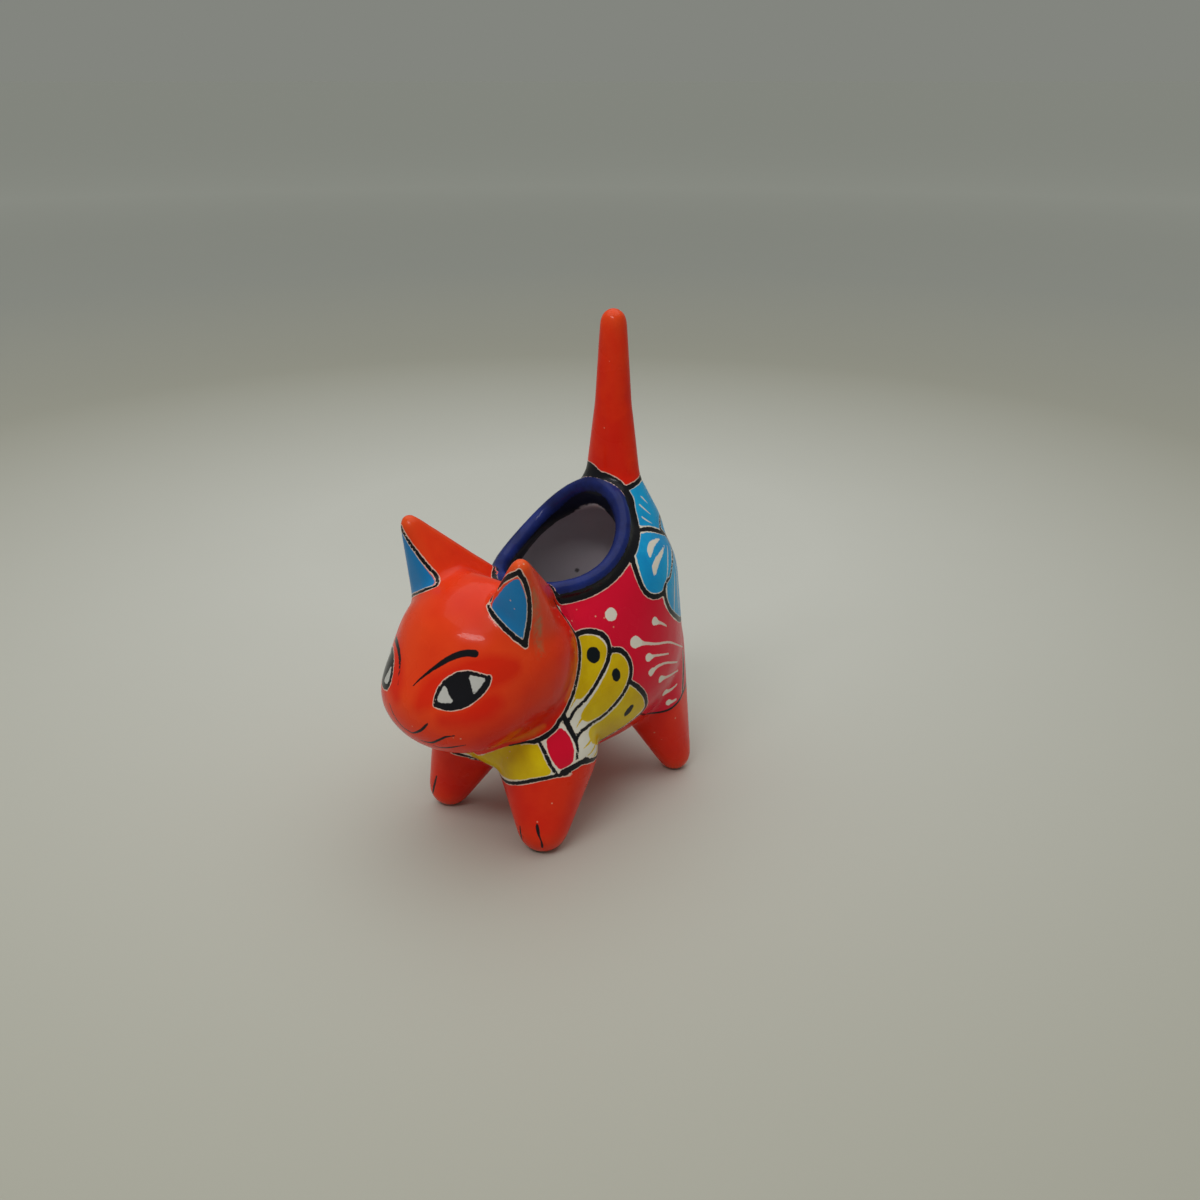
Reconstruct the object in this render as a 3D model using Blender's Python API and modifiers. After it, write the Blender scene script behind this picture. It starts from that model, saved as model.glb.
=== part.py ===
"""Ceramic cat planter: a small standing cat, slip-cast in one piece, with an open back for a plant.

Metres, +Z up. The cat looks along -Y and its own left side is at +X. It stands on z = 0, and the
origin is the middle of the rectangle that it covers. The places below are measured from a point
under the trunk, on the plane x = 0 that the cat is laid out about.
"""

import math

import bmesh
import bpy
from mathutils import Matrix, Vector

# The wall of the casting, and the rolled lip of the mouth
WALL = 0.0045
LIP_RADIUS = 0.0029

# As shares of the lip's radius: how far outside its middle the trunk comes up, and how far inside
# its middle the throat goes down
LIP_SEAT = 0.3
THROAT_INSET = 0.7

# The mouth in the cat's back: an oval that climbs to the tail, dipping at the sides
MOUTH_CENTRE_Y = -0.0020
MOUTH_CENTRE_HEIGHT = 0.0954
MOUTH_HALF_LENGTH = 0.0247
MOUTH_HALF_WIDTH = 0.0199
MOUTH_SLOPE = math.radians(28.7)
MOUTH_DIP = 0.0077

# The pot-shaped trunk: a belly, a chest under the head, and a rump that climbs to the tail
BELLY_CENTRE = Vector((0.0, 0.0065, 0.0490))
BELLY_RADII = Vector((0.0330, 0.0450, 0.0315))
CHEST_CENTRE = Vector((0.0, -0.0230, 0.0445))
CHEST_RADII = Vector((0.0280, 0.0240, 0.0265))
RUMP_CENTRE = Vector((0.0, 0.0160, 0.0735))
RUMP_RADII = Vector((0.0288, 0.0318, 0.0290))

# The head: a round skull, drawn forward into the muzzle, and a nape that slopes down to the lip
SKULL_CENTRE = Vector((0.0, -0.0367, 0.0644))
SKULL_RADII = Vector((0.0297, 0.0292, 0.0275))
MUZZLE_CENTRE = Vector((0.0, -0.0503, 0.0555))
MUZZLE_RADII = Vector((0.0264, 0.0220, 0.0178))
NAPE_SLOPE = math.radians(35.0)

# The ears: a rounded tip each, over four feet that stand on the skull
LEFT_EAR_TIP = Vector((0.0252, -0.0460, 0.1027))
RIGHT_EAR_TIP = Vector((-0.0243, -0.0449, 0.1054))
EAR_TIP_RADIUS = 0.0033
EAR_INNER_FOOT = Vector((0.0120, -0.0430, 0.0825))
EAR_OUTER_FOOT = Vector((0.0221, -0.0410, 0.0757))
EAR_SIDE_FOOT = Vector((0.0210, -0.0300, 0.0755))
EAR_BACK_FOOT = Vector((0.0105, -0.0210, 0.0815))
EAR_FOOT_RADIUS = 0.0045

# The legs: the middle of each foot, and the rounds that the leg grows out of.
# The left front leg is the stouter one.
FRONT_FOOT = Vector((0.0220, -0.0350, 0.0))
FRONT_HIP = Vector((0.0160, -0.0262, 0.0310))
FRONT_LEFT_FOOT_RADIUS = 0.0087
FRONT_LEFT_HIP_RADIUS = 0.0172
FRONT_RIGHT_FOOT_RADIUS = 0.0074
FRONT_RIGHT_HIP_RADIUS = 0.0152
FRONT_SHOULDER = Vector((0.0125, -0.0245, 0.0420))
FRONT_SHOULDER_RADIUS = 0.0160
REAR_FOOT = Vector((0.0230, 0.0350, 0.0))
REAR_FOOT_RADIUS = 0.0062
REAR_HIP = Vector((0.0160, 0.0260, 0.0350))
REAR_HIP_RADIUS = 0.0130
REAR_HAUNCH = Vector((0.0095, 0.0302, 0.0480))
REAR_HAUNCH_RADIUS = 0.0165

# The feet are rounded off, on a flat that is this share of the foot's radius below its middle
SOLE_SHARE = 0.88

# The tail stands upright behind the mouth, on a root wider than it is deep, and flares into the rump
TAIL_SET_BACK = 0.0073
TAIL_TIP_HEIGHT = 0.1666
TAIL_TIP_RADIUS = 0.0047
TAIL_MIDDLE_RADIUS = 0.0064
TAIL_ROOT_RADII = Vector((0.0110, 0.0073, 0.0085))
TAIL_FLARE_FORWARD = 0.0020
TAIL_FLARE_DROP = 0.0200
TAIL_FLARE_RADIUS = 0.0195

# How finely the blended surface is worked
BALL_SEGMENTS = 40
MOUTH_STEPS = 64
BLEND_GRAIN = 0.0013
BLEND_PASSES = 12
OUTER_FACE_SHARE = 0.09
HOLLOW_FACE_SHARE = 0.055
LIP_SIDES = 3

# Red-orange glaze
GLAZE_COLOUR = (0.397, 0.028, 0.011, 1.0)
GLAZE_ROUGHNESS = 0.18


def add_to(whole, form):
    """Moves a form's geometry into another bmesh and frees the form."""
    scratch = bpy.data.meshes.new("scratch")
    form.to_mesh(scratch)
    form.free()
    whole.from_mesh(scratch)
    bpy.data.meshes.remove(scratch)


def ball(place, radii):
    """A ball or an ellipsoid as a loose form."""
    size = Vector((radii, radii, radii)) if isinstance(radii, float) else radii
    form = bmesh.new()
    bmesh.ops.create_uvsphere(
        form, u_segments=BALL_SEGMENTS, v_segments=BALL_SEGMENTS // 2, radius=1.0,
        matrix=Matrix.Translation(place) @ Matrix.Diagonal((*size, 1.0)),
    )
    return form


def hull(*forms):
    """The skin stretched over several forms, as one closed form."""
    joined = bmesh.new()
    for form in forms:
        add_to(joined, form)
    found = bmesh.ops.convex_hull(joined, input=joined.verts)
    inside = {item for item in found["geom_interior"] + found["geom_unused"]
              if isinstance(item, bmesh.types.BMVert)}
    bmesh.ops.delete(joined, geom=list(inside), context="VERTS")
    return joined


def inset(radii, wall):
    return radii - Vector((wall, wall, wall))


def mouth_point(angle, outset=0.0, rise=0.0):
    """A point on the mouth's outline; outset widens the outline and rise lifts it off its plane."""
    along = (MOUTH_HALF_LENGTH + outset) * math.cos(angle)
    across = (MOUTH_HALF_WIDTH + outset) * math.sin(angle)
    lift = rise - MOUTH_DIP * math.sin(angle) ** 2
    return Vector((
        across,
        MOUTH_CENTRE_Y + along * math.cos(MOUTH_SLOPE) - lift * math.sin(MOUTH_SLOPE),
        MOUTH_CENTRE_HEIGHT + along * math.sin(MOUTH_SLOPE) + lift * math.cos(MOUTH_SLOPE),
    ))


def mouth_ring(outset, rise, drop=0.0):
    """The mouth's outline as loose points, to stretch a skin over; drop lowers it straight down."""
    ring = bmesh.new()
    down = Vector((0.0, 0.0, drop))
    for step in range(MOUTH_STEPS):
        ring.verts.new(mouth_point(math.tau * step / MOUTH_STEPS, outset, rise) - down)
    return ring


def trunk(wall=0.0):
    return hull(
        ball(BELLY_CENTRE, inset(BELLY_RADII, wall)),
        ball(CHEST_CENTRE, inset(CHEST_RADII, wall)),
        ball(RUMP_CENTRE, inset(RUMP_RADII, wall)),
        mouth_ring(LIP_RADIUS * LIP_SEAT - wall, -LIP_RADIUS - wall),
    )


def head(wall=0.0):
    """The skull and the muzzle under one skin, planed off at the nape."""
    skull = ball(SKULL_CENTRE, inset(SKULL_RADII, wall))
    form = hull(skull, ball(MUZZLE_CENTRE, inset(MUZZLE_RADII, wall)))
    outward = Vector((0.0, math.sin(NAPE_SLOPE), math.cos(NAPE_SLOPE)))
    lip_edge = LIP_RADIUS * math.sqrt(0.5)
    bmesh.ops.bisect_plane(
        form, geom=form.verts[:] + form.edges[:] + form.faces[:], clear_outer=True,
        plane_co=mouth_point(math.pi, lip_edge, lip_edge) - outward * wall, plane_no=outward,
    )
    return hull(form)


def mirrored(point):
    return Vector((-point.x, point.y, point.z))


def as_given(point):
    return point


def ear(tip, side):
    feet = (EAR_INNER_FOOT, EAR_OUTER_FOOT, EAR_SIDE_FOOT, EAR_BACK_FOOT)
    return hull(ball(tip, EAR_TIP_RADIUS), *[ball(side(foot), EAR_FOOT_RADIUS) for foot in feet])


def leg(side, foot, foot_radius, *rounds):
    """A leg on a rounded foot; rounds are the centre and radius of each form that it grows out of."""
    middle = foot + Vector((0.0, 0.0, foot_radius * SOLE_SHARE))
    grown_from = [ball(side(place), radius) for place, radius in rounds]
    return hull(ball(side(middle), foot_radius), *grown_from)


def legs():
    shoulder = (FRONT_SHOULDER, FRONT_SHOULDER_RADIUS)
    left_hip = (FRONT_HIP, FRONT_LEFT_HIP_RADIUS)
    right_hip = (FRONT_HIP, FRONT_RIGHT_HIP_RADIUS)
    rear = ((REAR_HIP, REAR_HIP_RADIUS), (REAR_HAUNCH, REAR_HAUNCH_RADIUS))
    return [
        leg(as_given, FRONT_FOOT, FRONT_LEFT_FOOT_RADIUS, left_hip, shoulder),
        leg(mirrored, FRONT_FOOT, FRONT_RIGHT_FOOT_RADIUS, right_hip, shoulder),
        leg(as_given, REAR_FOOT, REAR_FOOT_RADIUS, *rear),
        leg(mirrored, REAR_FOOT, REAR_FOOT_RADIUS, *rear),
    ]


def tail():
    root = mouth_point(0.0) + Vector((0.0, TAIL_SET_BACK, 0.0))
    tip = Vector((0.0, root.y, TAIL_TIP_HEIGHT - TAIL_TIP_RADIUS))
    middle = root.lerp(tip, 0.5)
    flare = root - Vector((0.0, TAIL_FLARE_FORWARD, TAIL_FLARE_DROP))
    return [
        hull(ball(tip, TAIL_TIP_RADIUS), ball(middle, TAIL_MIDDLE_RADIUS)),
        hull(ball(middle, TAIL_MIDDLE_RADIUS), ball(root, TAIL_ROOT_RADII)),
        hull(ball(root, TAIL_ROOT_RADII), ball(flare, TAIL_FLARE_RADIUS)),
    ]


def throat(wall):
    """The way in through the lip, from above its plane down into the hollow."""
    depth = LIP_RADIUS + wall
    return hull(mouth_ring(0.0, depth), mouth_ring(-LIP_RADIUS * THROAT_INSET, 0.0, depth))


def mesh_object(name, form, collection):
    mesh = bpy.data.meshes.new(name)
    form.to_mesh(mesh)
    form.free()
    thing = bpy.data.objects.new(name, mesh)
    collection.objects.link(thing)
    return thing


def helper(thing):
    thing.hide_render = True
    thing.display_type = "WIRE"
    return thing


def blended(name, forms, face_share, collection):
    """Several overlapping forms as one object with one smooth closed skin."""
    whole = bmesh.new()
    for form in forms:
        add_to(whole, form)
    thing = mesh_object(name, whole, collection)
    skin = thing.modifiers.new("one_skin", "REMESH")
    skin.mode = "VOXEL"
    skin.voxel_size = BLEND_GRAIN
    smooth = thing.modifiers.new("blend", "SMOOTH")
    smooth.factor = 0.5
    smooth.iterations = BLEND_PASSES
    thin = thing.modifiers.new("fewer_faces", "DECIMATE")
    thin.ratio = face_share
    return thing


def lip(collection):
    """The rolled rim of the mouth, a closed tube along its outline."""
    outline = bpy.data.curves.new("lip", "CURVE")
    outline.dimensions = "3D"
    outline.bevel_depth = LIP_RADIUS
    outline.bevel_resolution = LIP_SIDES
    spline = outline.splines.new("POLY")
    spline.points.add(MOUTH_STEPS - 1)
    for step, point in enumerate(spline.points):
        point.co = (*mouth_point(math.tau * step / MOUTH_STEPS), 1.0)
    spline.use_cyclic_u = True
    curve = bpy.data.objects.new("lip", outline)
    collection.objects.link(curve)
    tube = bpy.data.meshes.new_from_object(curve.evaluated_get(bpy.context.evaluated_depsgraph_get()))
    bpy.data.objects.remove(curve)
    ring = bmesh.new()
    ring.from_mesh(tube)
    bpy.data.meshes.remove(tube)
    bmesh.ops.remove_doubles(ring, verts=ring.verts, dist=1e-6)
    return mesh_object("lip", ring, collection)


def boolean(thing, name, operation, tool):
    cut = thing.modifiers.new(name, "BOOLEAN")
    cut.operation = operation
    cut.solver = "EXACT"
    cut.object = tool


def glaze():
    material = bpy.data.materials.new("red_glaze")
    material.use_nodes = True
    shader = material.node_tree.nodes["Principled BSDF"]
    shader.inputs["Base Color"].default_value = GLAZE_COLOUR
    shader.inputs["Roughness"].default_value = GLAZE_ROUGHNESS
    shader.inputs["Metallic"].default_value = 0.0
    return material


def main():
    for thing in list(bpy.data.objects):
        bpy.data.objects.remove(thing)
    cat_collection = bpy.data.collections.new("CatPlanter")
    helpers = bpy.data.collections.new("Helpers")
    bpy.context.scene.collection.children.link(cat_collection)
    bpy.context.scene.collection.children.link(helpers)

    # Everything is shifted so that the cat's length is centred on the origin
    ears = [ear(LEFT_EAR_TIP, as_given), ear(RIGHT_EAR_TIP, mirrored)]
    forms = [trunk(), head(), *ears, *legs(), *tail()]
    reach = [vert.co.y for form in forms for vert in form.verts]
    to_centre = Matrix.Translation((0.0, -(min(reach) + max(reach)) / 2.0, 0.0))

    cat = blended("cat_planter", forms, OUTER_FACE_SHARE, cat_collection)
    insides = [trunk(WALL), head(WALL), throat(WALL)]
    hollow = helper(blended("hollow", insides, HOLLOW_FACE_SHARE, helpers))
    rim = helper(lip(helpers))
    for thing in (cat, hollow, rim):
        thing.data.transform(to_centre)

    # The block below the floor, which trims the soles, reaches well past the cat on every side
    ground = bmesh.new()
    block = 2.0 * TAIL_TIP_HEIGHT
    bmesh.ops.create_cube(ground, size=block, matrix=Matrix.Translation((0.0, 0.0, -block / 2.0)))
    floor = helper(mesh_object("floor", ground, helpers))

    # The hollow is cut, the lip joined on, and the feet trimmed flat
    boolean(cat, "hollowed", "DIFFERENCE", hollow)
    boolean(cat, "rimmed", "UNION", rim)
    boolean(cat, "flat_feet", "DIFFERENCE", floor)
    cat.data.materials.append(glaze())
    cat.data.shade_smooth()


main()
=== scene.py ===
import math

import bpy
import numpy as np
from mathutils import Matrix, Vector
from mathutils.bvhtree import BVHTree


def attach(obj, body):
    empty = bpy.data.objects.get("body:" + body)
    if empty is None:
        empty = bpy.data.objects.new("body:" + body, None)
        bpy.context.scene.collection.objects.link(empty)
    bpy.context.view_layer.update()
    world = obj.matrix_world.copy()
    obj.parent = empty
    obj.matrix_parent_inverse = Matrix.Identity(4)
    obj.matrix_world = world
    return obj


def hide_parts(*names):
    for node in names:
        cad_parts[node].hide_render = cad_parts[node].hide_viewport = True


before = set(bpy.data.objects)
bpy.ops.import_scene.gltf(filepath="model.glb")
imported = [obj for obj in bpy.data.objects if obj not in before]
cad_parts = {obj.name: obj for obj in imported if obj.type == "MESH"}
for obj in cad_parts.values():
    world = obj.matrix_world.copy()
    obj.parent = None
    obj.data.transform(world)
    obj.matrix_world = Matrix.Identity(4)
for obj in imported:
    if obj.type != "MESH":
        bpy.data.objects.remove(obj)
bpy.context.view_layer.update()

# All painted places and brush widths are in millimetres of the row frame
TO_MM = 1000.0

# Skin: doubles nearer than this are merged, and the surface is rebuilt with this grain, both in metres
MERGE = 0.00001
GRAIN = 0.00092

# How far it is softened, and how much further the form is against which ridges stand out
SOFTNESS = 0.5
SKIN_PASSES = 8
RIDGE_PASSES = 40

# The mouth's rolled lip, as a ring that slopes up to the tail and dips at its sides
LIP_CENTRE_Y = 8.4
LIP_CENTRE_HEIGHT = 95.4
LIP_HALF_LENGTH = 24.7
LIP_HALF_WIDTH = 19.9
LIP_SLOPE = math.radians(28.7)
LIP_DIP = 7.7
LIP_BEAD = 3.05

# The outside is what is joined to the soles, below this height, without crossing the inner half of the
# bead and this margin round it. The search stops to count what it has reached after so many rounds
SOLE_HEIGHT = 5.0
BEAD_MARGIN = 0.4
ROUNDS_PER_COUNT = 20

# The bead's own skin faces squarely away from the ring. Cobalt ends where it no longer does, and inside
# also below this share of the bead's radius
COBALT_SQUARE = 0.88
COBALT_FOOT = -0.25
SQUARE_TO_MM = 4.0

# Black hugs the bead, and fills the seat outside it: up to this share of the radius, and in the rear half
# wherever the skin turns from the ring
COLLAR = 1.2
SEAT_REACH = 4.9
SEAT_TOP = 0.1
SEAT_SQUARE = 0.86

# A dark band runs round the inner wall, as far from the ring as this: navy glaze run in under the lip,
# widened with painted shade
INNER_NAVY_AND_SHADE_REACH = 6.4

# A dark speck fired into the inner wall
SPECK_PLACE = (-20.6, 41.7, 67.8)
SPECK_RADIUS = 0.9

# Height of the bare clay left unglazed round each sole, and how far its edge strays, in metres
BARE_SOLE = 0.0009
SOLE_RAGGED = 0.0006

# Brushwork: how finely a stroke is followed, the farthest distance kept, and the least divisor
STROKE_STEP = 0.4
FAR = 6.0
TINY = 1e-9

# Strokes are thrown onto the skin from this far off, and lines of sight start this far clear of it, both
# in metres
BRUSH_DISTANCE = 0.4
SIGHT_CLEARANCE = 0.0006

# A line that leaps farther than this between two samples has slipped off its surface, and runs of
# fewer samples than this are dropped
LEAP = 2.5
SHORT_RUN = 4

# A hairline's width fades out beyond this distance from it, this many times as fast
HAIRLINE_REACH = 0.55
HAIRLINE_FADE = 3.0

# Directions that the decoration is drawn from, as bearings round the cat
HEAD_ON = 0.0
SIDE_ON = 90.0
TAIL_ON = 180.0
THREE_QUARTER = 40.0
REAR_QUARTER = 135.0

# Glazes, as linear red, green and blue. Those given two colours drift between them
DEEP_RED = (0.72, 0.009, 0.002, 1)
RED = (0.84, 0.022, 0.004, 1)
STREAKED_RED = (0.90, 0.040, 0.005, 1)
# Painted sheen: lighter red over the head
HEAD_SHEEN_RED = (0.88, 0.075, 0.012, 1)
# Painted shade: darker red round the eyes
EYE_SHADE_RED = (0.74, 0.010, 0.002, 1)
# Painted highlight: lighter red on the ridges
RIDGE_HIGHLIGHT_RED = (0.90, 0.16, 0.03, 1)
AMBER = (0.86, 0.20, 0.008, 1)
OCHRE = (0.42, 0.19, 0.08, 1)
SLIP = (0.80, 0.76, 0.66, 1)
CRIMSON = ((0.70, 0.002, 0.022, 1), (0.84, 0.006, 0.045, 1))
YELLOW = ((0.66, 0.42, 0.001, 1), (0.84, 0.62, 0.002, 1))
BLUE = ((0.006, 0.30, 0.66, 1), (0.012, 0.46, 0.82, 1))
EAR_BLUE = ((0.008, 0.17, 0.46, 1), (0.016, 0.26, 0.60, 1))
COBALT = ((0.006, 0.010, 0.07, 1), (0.016, 0.034, 0.22, 1))
BLACK = ((0.004, 0.004, 0.006, 1), (0.012, 0.012, 0.016, 1))
HALO = (0.80, 0.70, 0.58, 1)
WHITE = (0.82, 0.76, 0.66, 1)
PIT = (0.86, 0.50, 0.34, 1)
INNER_CLAY = ((0.50, 0.46, 0.50, 1), (0.62, 0.56, 0.60, 1))
# Navy glaze and painted shade under the lip
INNER_NAVY_AND_SHADE = (0.004, 0.005, 0.014, 1)
SPECK = (0.02, 0.018, 0.018, 1)
SPOT = (0.004, 0.008, 0.012, 1)
EYE_WHITE = (0.56, 0.55, 0.52, 1)
SOLE_CLAY = (0.30, 0.17, 0.11, 1)

# A painted sheen lightens the head's red: from here forward, and from here up, in metres
HEAD_FORWARD = (-0.012, -0.028)
HEAD_UP = (0.046, 0.060)

# The room: a wide pale floor, a dim surround, a large soft light overhead and a small one in front, both
# turned to the cat's middle
ROOM_WIDTH = 60
ROOM_COLOUR = (0.227, 0.235, 0.212, 1)
LIGHTS_AIM = (0, 0, 0.05)
CEILING_PLACE = (-0.1, 0.1, 1.5)
CEILING_WIDTH = 2.4
CEILING_POWER = 15.5
FRONT_PLACE = (0.22, -0.70, 0.90)
FRONT_WIDTH = 0.62
FRONT_DEPTH = 0.18
FRONT_POWER = 3.0

# A painted pool of light: the sheet is lightest here, and changes between these distances from it, in
# metres: to its middle tone, to its far one, and into a painted glow of the room's colour
LIGHT_POOL_PLACE = (-0.18, 0.21, 0.0)
SHEET_NEAR = (0.65, 0.65, 0.60, 1)
SHEET_MIDDLE = (0.415, 0.41, 0.345, 1)
SHEET_FAR = (0.36, 0.37, 0.34, 1)
SHEET_MOTTLE = (0.45, 0.44, 0.38, 1)
TO_MIDDLE = (0.14, 0.48)
TO_FAR = (0.45, 1.0)
TO_PAINTED_GLOW = (0.55, 2.2)
PAINTED_GLOW = 0.51

# Where the viewer stands: to the cat's left front, a little above its ears
CAMERA_PLACE = Vector((0.2739, -0.2934, 0.2395))
CAMERA_AZIMUTH = math.radians(40.22)
CAMERA_ELEVATION = math.radians(22.37)
CAMERA_LENS = 39.03
CAMERA_SENSOR = 36.0
CAMERA_NEAR = 0.01
CAMERA_FAR = 20


# Skin
def only(obj):
    bpy.ops.object.select_all(action="DESELECT")
    obj.select_set(True)
    bpy.context.view_layer.objects.active = obj


def apply_new(obj, name, kind, **settings):
    modifier = obj.modifiers.new(name, kind)
    for key, value in settings.items():
        setattr(modifier, key, value)
    bpy.ops.object.modifier_apply(modifier=modifier.name)


def glazed_skin(node):
    """A copy of the CAD node with an even, softened surface, fine enough to carry the paint."""
    skin = node.copy()
    skin.data = node.data.copy()
    skin.name = "GlazedCat"
    skin.data.name = "GlazedCat"
    skin.parent = None
    bpy.context.scene.collection.objects.link(skin)
    only(skin)
    bpy.ops.object.mode_set(mode="EDIT")
    bpy.ops.mesh.select_all(action="SELECT")
    bpy.ops.mesh.remove_doubles(threshold=MERGE)
    bpy.ops.object.mode_set(mode="OBJECT")
    apply_new(skin, "Grains", "REMESH", mode="VOXEL", voxel_size=GRAIN)
    apply_new(skin, "Soft", "SMOOTH", factor=SOFTNESS, iterations=SKIN_PASSES)
    bpy.ops.object.shade_smooth()
    skin.data.materials.clear()
    return skin


def places(mesh):
    values = np.empty(len(mesh.vertices) * 3)
    mesh.vertices.foreach_get("co", values)
    return values.reshape(-1, 3) * TO_MM


def directions(mesh):
    values = np.empty(len(mesh.vertices) * 3)
    mesh.vertices.foreach_get("normal", values)
    return values.reshape(-1, 3)


def ridges(skin, co, no):
    """How far each point stands out from the softened form, in millimetres."""
    soft = skin.copy()
    soft.data = skin.data.copy()
    bpy.context.scene.collection.objects.link(soft)
    only(soft)
    apply_new(soft, "Soft", "SMOOTH", factor=SOFTNESS, iterations=RIDGE_PASSES)
    out = ((co - places(soft.data)) * no).sum(1)
    mesh = soft.data
    bpy.data.objects.remove(soft)
    bpy.data.meshes.remove(mesh)
    return out


def lip_ring(steps=360):
    """Places along the line that the lip's bead is rolled round."""
    turn = np.linspace(0.0, math.tau, steps, endpoint=False)
    along = LIP_HALF_LENGTH * np.cos(turn)
    across = LIP_HALF_WIDTH * np.sin(turn)
    lift = -LIP_DIP * np.sin(turn) ** 2
    back = LIP_CENTRE_Y + along * math.cos(LIP_SLOPE) - lift * math.sin(LIP_SLOPE)
    up = LIP_CENTRE_HEIGHT + along * math.sin(LIP_SLOPE) + lift * math.cos(LIP_SLOPE)
    return np.stack([across, back, up], 1)


def nearest(points, others):
    """Distance from each point to the nearest of the others, and which one it is."""
    best = np.full(len(points), np.inf)
    which = np.zeros(len(points), int)
    for index, other in enumerate(others):
        gap = ((points - other) ** 2).sum(1)
        closer = gap < best
        best[closer] = gap[closer]
        which[closer] = index
    return np.sqrt(best), which


def outer_side(mesh, co, lip_gap):
    """Points of the outside: those joined to the soles without crossing the bead's inner half."""
    edges = np.empty(len(mesh.edges) * 2, np.int64)
    mesh.edges.foreach_get("vertices", edges)
    edges = edges.reshape(-1, 2)
    gap, which = lip_gap
    spoke = LIP[which] - LIP.mean(0)
    spoke /= np.linalg.norm(spoke, axis=1)[:, None]
    inward = ((co - LIP[which]) * spoke).sum(1) < 0.0
    barrier = (gap < LIP_BEAD + BEAD_MARGIN) & inward
    reached = co[:, 2] < SOLE_HEIGHT
    keep = ~(barrier[edges[:, 0]] | barrier[edges[:, 1]])
    a, b = edges[keep, 0], edges[keep, 1]
    while True:
        count = reached.sum()
        for _ in range(ROUNDS_PER_COUNT):
            touch = reached[a] | reached[b]
            reached[a[touch]] = True
            reached[b[touch]] = True
        if reached.sum() == count:
            return reached


# Brushwork
def curve(points, closed=False):
    """A smooth line through the points, sampled closely. Widths ride along as further columns."""
    points = np.array(points, float)
    count = len(points)
    if count == 1:
        return points
    spans = count if closed else count - 1
    samples = []
    for i in range(spans):
        if closed:
            p0, p1, p2, p3 = (points[(i + k - 1) % count] for k in range(4))
        else:
            p0, p1, p2, p3 = (points[min(max(i + k - 1, 0), count - 1)] for k in range(4))
        steps = max(2, int(np.linalg.norm(p2[:2] - p1[:2]) / STROKE_STEP))
        t = (np.arange(steps) / steps)[:, None]
        samples.append(0.5 * (
            2 * p1 + (p2 - p0) * t + (2 * p0 - 5 * p1 + 4 * p2 - p3) * t ** 2
            + (3 * p1 - p0 - 3 * p2 + p3) * t ** 3
        ))
    if not closed:
        samples.append(points[-1:])
    return np.concatenate(samples)


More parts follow.
